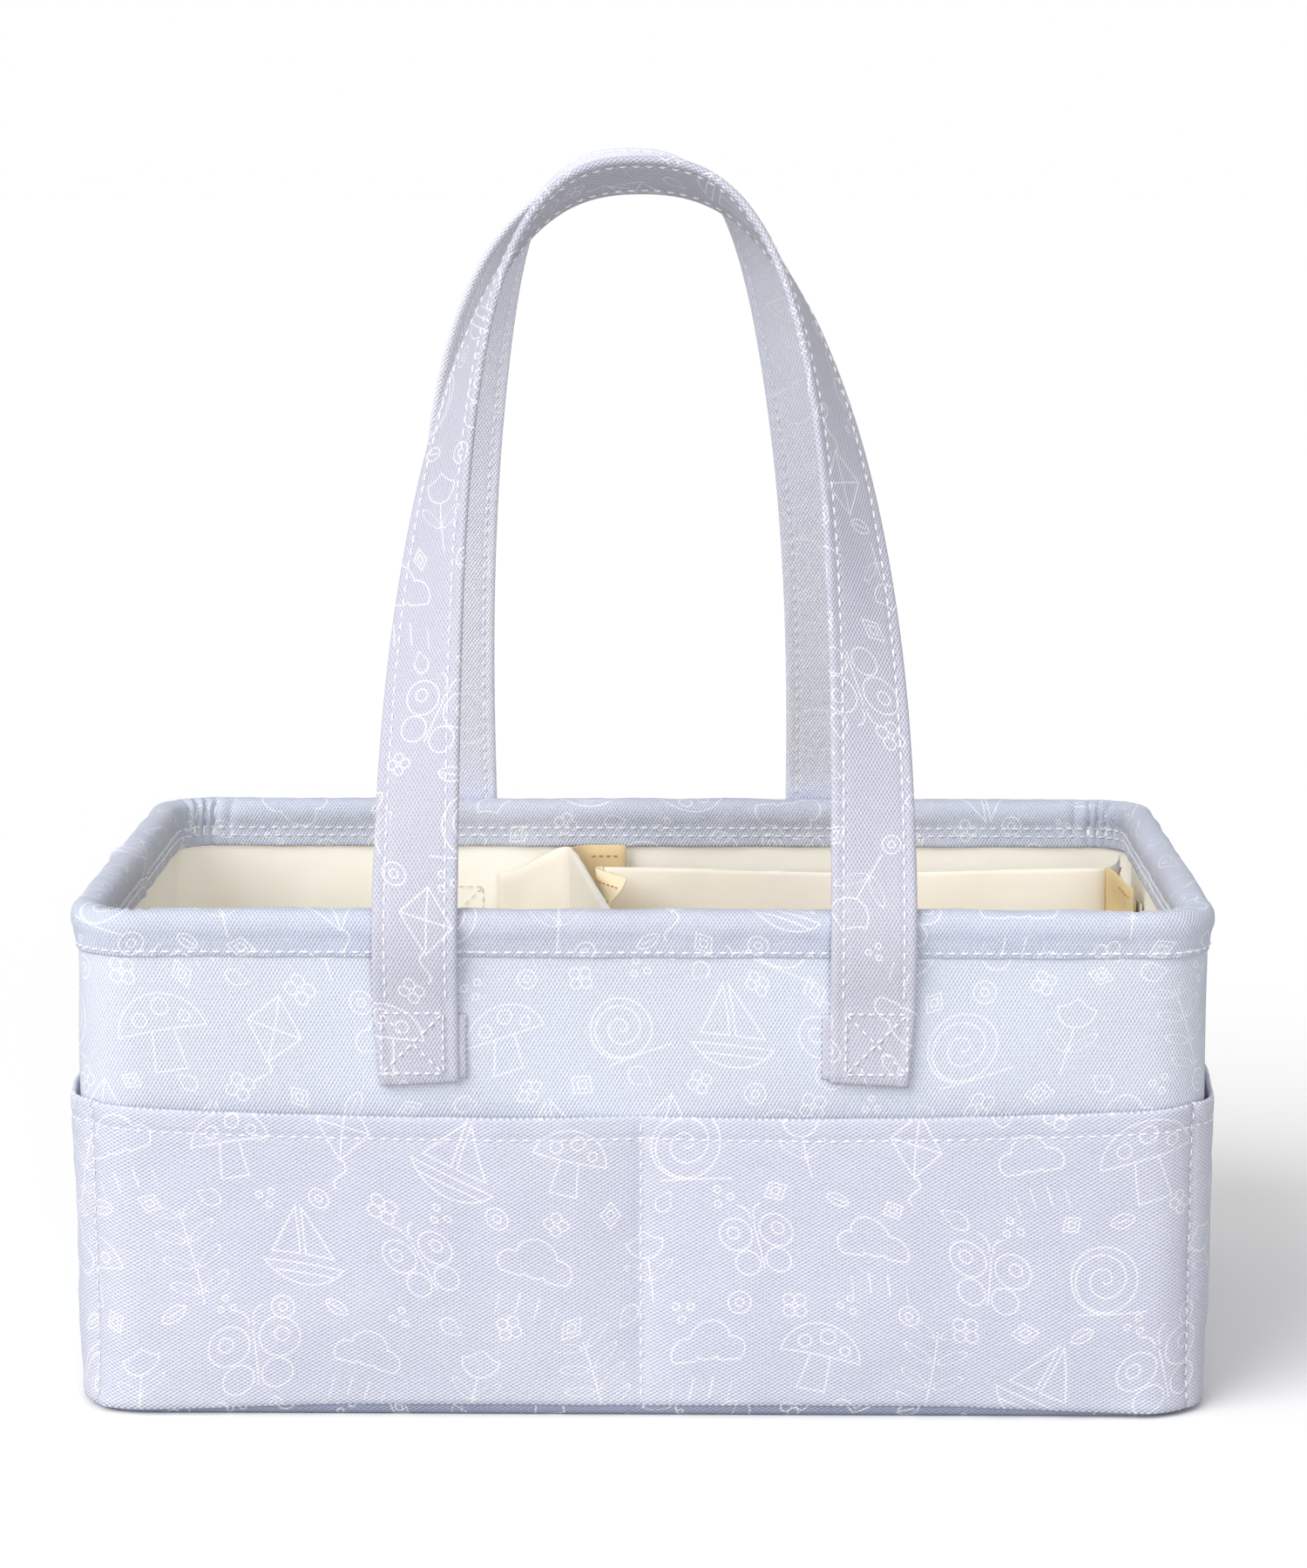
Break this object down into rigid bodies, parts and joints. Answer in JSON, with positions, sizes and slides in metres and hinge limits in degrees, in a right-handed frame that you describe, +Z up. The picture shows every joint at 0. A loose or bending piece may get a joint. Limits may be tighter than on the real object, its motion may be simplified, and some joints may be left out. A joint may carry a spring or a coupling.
{
  "type": "diaper caddy",
  "caption": "Canvas storage caddy with a rolled rim, a band of outer pockets, strap handles that meet over the middle, and lift-out dividers.",
  "frame": {"origin": "middle of the base, on the surface that the caddy stands on", "axes": "+X along the long side to the right, +Y from the front wall to the back wall, +Z up"},
  "size_m": [0.394, 0.249, 0.4222],
  "materials": {
    "pocket_canvas": "matte woven canvas with a printed pattern",
    "wall_canvas": "matte woven canvas with a printed pattern",
    "rim_canvas": "matte woven canvas with a printed pattern",
    "strap_canvas": "matte woven canvas with a printed pattern",
    "lining_nylon": "smooth, slightly glossy nylon",
    "divider_nylon": "smooth, slightly glossy nylon",
    "stiff_board": "matte foam board",
    "filler_cord": "matte cotton",
    "hook_tape": "matte hook and loop tape"
  },
  "bodies": {
    "caddy": {"outer_wrap": "wall_canvas", "base_canvas": "wall_canvas", "base_board": "stiff_board", "board_front": "stiff_board", "board_right": "stiff_board", "board_back": "stiff_board", "board_left": "stiff_board", "lining_wall": "lining_nylon", "lining_floor": "lining_nylon", "rim_binding": "rim_canvas", "rim_core": "filler_cord", "front_pocket": "pocket_canvas", "back_pocket": "pocket_canvas", "left_pocket": "pocket_canvas", "right_pocket": "pocket_canvas", "handle_front_left_end": "strap_canvas", "handle_front_right_end": "strap_canvas", "handle_back_left_end": "strap_canvas", "handle_back_right_end": "strap_canvas", "lining_back_loop": "lining_nylon", "lining_front_loop": "lining_nylon", "lining_right_loop": "lining_nylon"},
    "front_handle": {"handle_front_loop": "strap_canvas"},
    "back_handle": {"handle_back_loop": "strap_canvas"},
    "cross_divider": {"cross_divider_cover": "divider_nylon", "cross_divider_board": "stiff_board", "cross_divider_back_hook": "hook_tape", "cross_divider_front_hook": "hook_tape", "cross_divider_loop": "lining_nylon"},
    "long_divider": {"long_divider_cover": "divider_nylon", "long_divider_board": "stiff_board", "long_divider_wall_hook": "hook_tape", "long_divider_cross_hook": "hook_tape"}
  },
  "joints": [
    {"name": "front_handle_fold", "type": "hinge", "parent": "caddy", "child": "front_handle", "pos_m": [0, -0.1203, 0.1395], "axis": [1, 0, 0], "range_deg": [0, 135]},
    {"name": "back_handle_fold", "type": "hinge", "parent": "caddy", "child": "back_handle", "pos_m": [0, 0.1203, 0.1395], "axis": [-1, 0, 0], "range_deg": [0, 132]},
    {"name": "cross_divider_lift", "type": "slide", "parent": "caddy", "child": "cross_divider", "axis": [0, 0, 1], "range_m": [0, 0.18]},
    {"name": "long_divider_lift", "type": "slide", "parent": "caddy", "child": "long_divider", "axis": [0, 0, 1], "range_m": [0, 0.14]}
  ]
}
